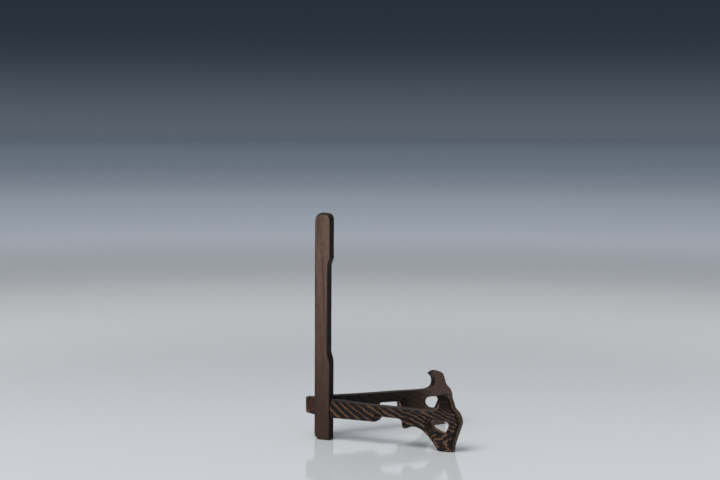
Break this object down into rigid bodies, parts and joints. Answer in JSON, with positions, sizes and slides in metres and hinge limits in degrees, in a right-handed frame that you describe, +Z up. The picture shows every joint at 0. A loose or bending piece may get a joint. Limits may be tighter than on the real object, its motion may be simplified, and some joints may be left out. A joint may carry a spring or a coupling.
{
  "type": "plate display stand",
  "caption": "Folding wooden plate stand: hinged mirrored halves, each a tall waisted post with a tenoned arm that ends in a carved hook and pierced foot.",
  "frame": {"origin": "on the floor under the middle of the object's width and depth, with the stand fully open", "axes": "+Z up; the stand faces -Y, with its hooks at -Y and its posts at +Y; the halves mirror each other across X = 0; the left half, as seen from the front with the plate facing the viewer, is at -X"},
  "size_m": [0.1573, 0.1539, 0.2256],
  "materials": {
    "wenge_wood": "hand-rubbed satin, dark brown with lighter tan figure",
    "peg_wood": "plain, unfinished",
    "hinge_brass": "dull, lightly tarnished",
    "screw_brass": "satin"
  },
  "bodies": {
    "left_half": {"left_post": "wenge_wood", "left_arm": "wenge_wood", "left_tenon_peg": "peg_wood", "lower_left_leaf": "hinge_brass", "upper_left_leaf": "hinge_brass", "lower_left_screw_1": "screw_brass", "lower_left_screw_2": "screw_brass", "upper_left_screw_1": "screw_brass", "upper_left_screw_2": "screw_brass", "lower_hinge_pin": "hinge_brass", "upper_hinge_pin": "hinge_brass"},
    "right_half": {"right_post": "wenge_wood", "right_arm": "wenge_wood", "right_tenon_peg": "peg_wood", "lower_right_leaf": "hinge_brass", "upper_right_leaf": "hinge_brass", "lower_right_screw_1": "screw_brass", "lower_right_screw_2": "screw_brass", "upper_right_screw_1": "screw_brass", "upper_right_screw_2": "screw_brass"}
  },
  "joints": [
    {"name": "fold_hinge", "type": "hinge", "parent": "left_half", "child": "right_half", "pos_m": [0, 0.06433, 0.13], "axis": [0, 0, 1], "range_deg": [-51, 0]}
  ]
}
